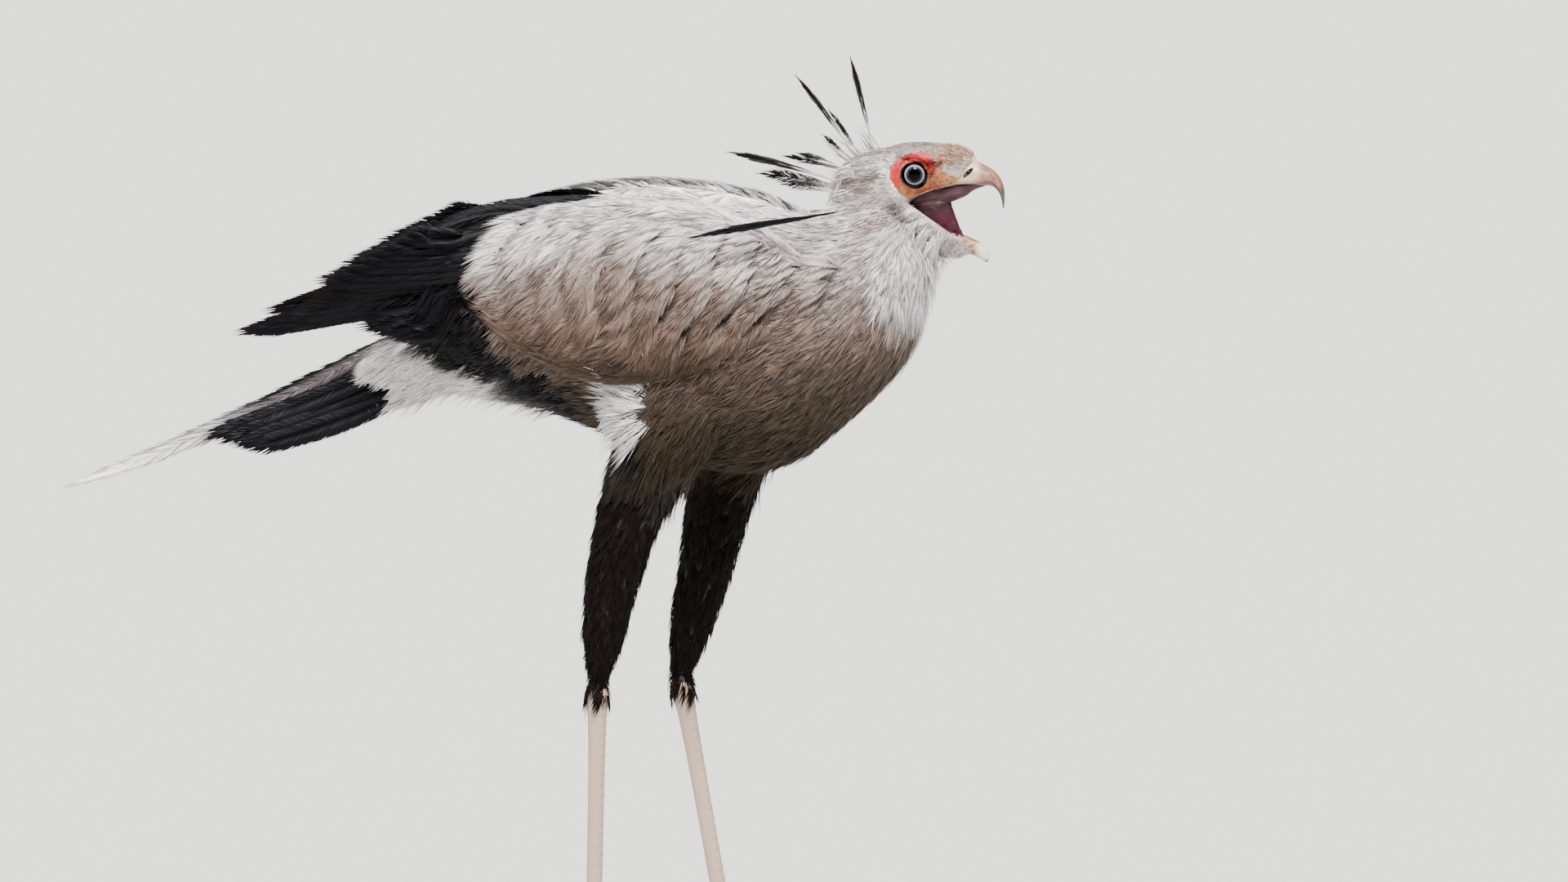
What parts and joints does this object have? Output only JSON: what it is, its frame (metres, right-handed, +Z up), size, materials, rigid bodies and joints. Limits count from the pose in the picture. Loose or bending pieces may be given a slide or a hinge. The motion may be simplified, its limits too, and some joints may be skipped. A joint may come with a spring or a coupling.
{
  "type": "secretary bird",
  "caption": "Standing long-legged bird of prey, neck drawn in, hooked bill wide open, loose quills on its nape, wings folded and a long tapering tail.",
  "frame": {"origin": "on the floor, under the middle of the bird's box", "axes": "+X the way the bird faces, +Y to its left, +Z up"},
  "size_m": [0.8248, 0.2666, 0.8402],
  "materials": {
    "plumage_grey": "soft matt feathers",
    "plumage_pale": "soft matt feathers",
    "plumage_black": "sleek feathers",
    "face_skin": "bare wrinkled skin",
    "horn": "smooth horn",
    "mouth": "moist lining",
    "eye": "wet and glossy",
    "leg_skin": "horny plates",
    "claw": "dark horn"
  },
  "bodies": {
    "root": {"torso": "plumage_grey", "neck": "plumage_pale", "head": "plumage_pale", "jaw": "plumage_pale", "wing_right": "plumage_grey", "wing_left": "plumage_grey", "tail": "plumage_black", "thigh_right": "plumage_grey", "thigh_left": "plumage_grey", "shank_right": "plumage_black", "shank_left": "plumage_black", "eye_right": "eye", "eye_left": "eye", "upper_bill": "horn", "lower_bill": "horn", "tongue": "mouth", "tarsus_right": "leg_skin", "tarsus_left": "leg_skin", "foot_right": "leg_skin", "foot_left": "leg_skin", "claw_right_1": "claw", "claw_right_2": "claw", "claw_right_3": "claw", "claw_right_4": "claw", "claw_left_1": "claw", "claw_left_2": "claw", "claw_left_3": "claw", "claw_left_4": "claw"}
  },
  "joints": []
}
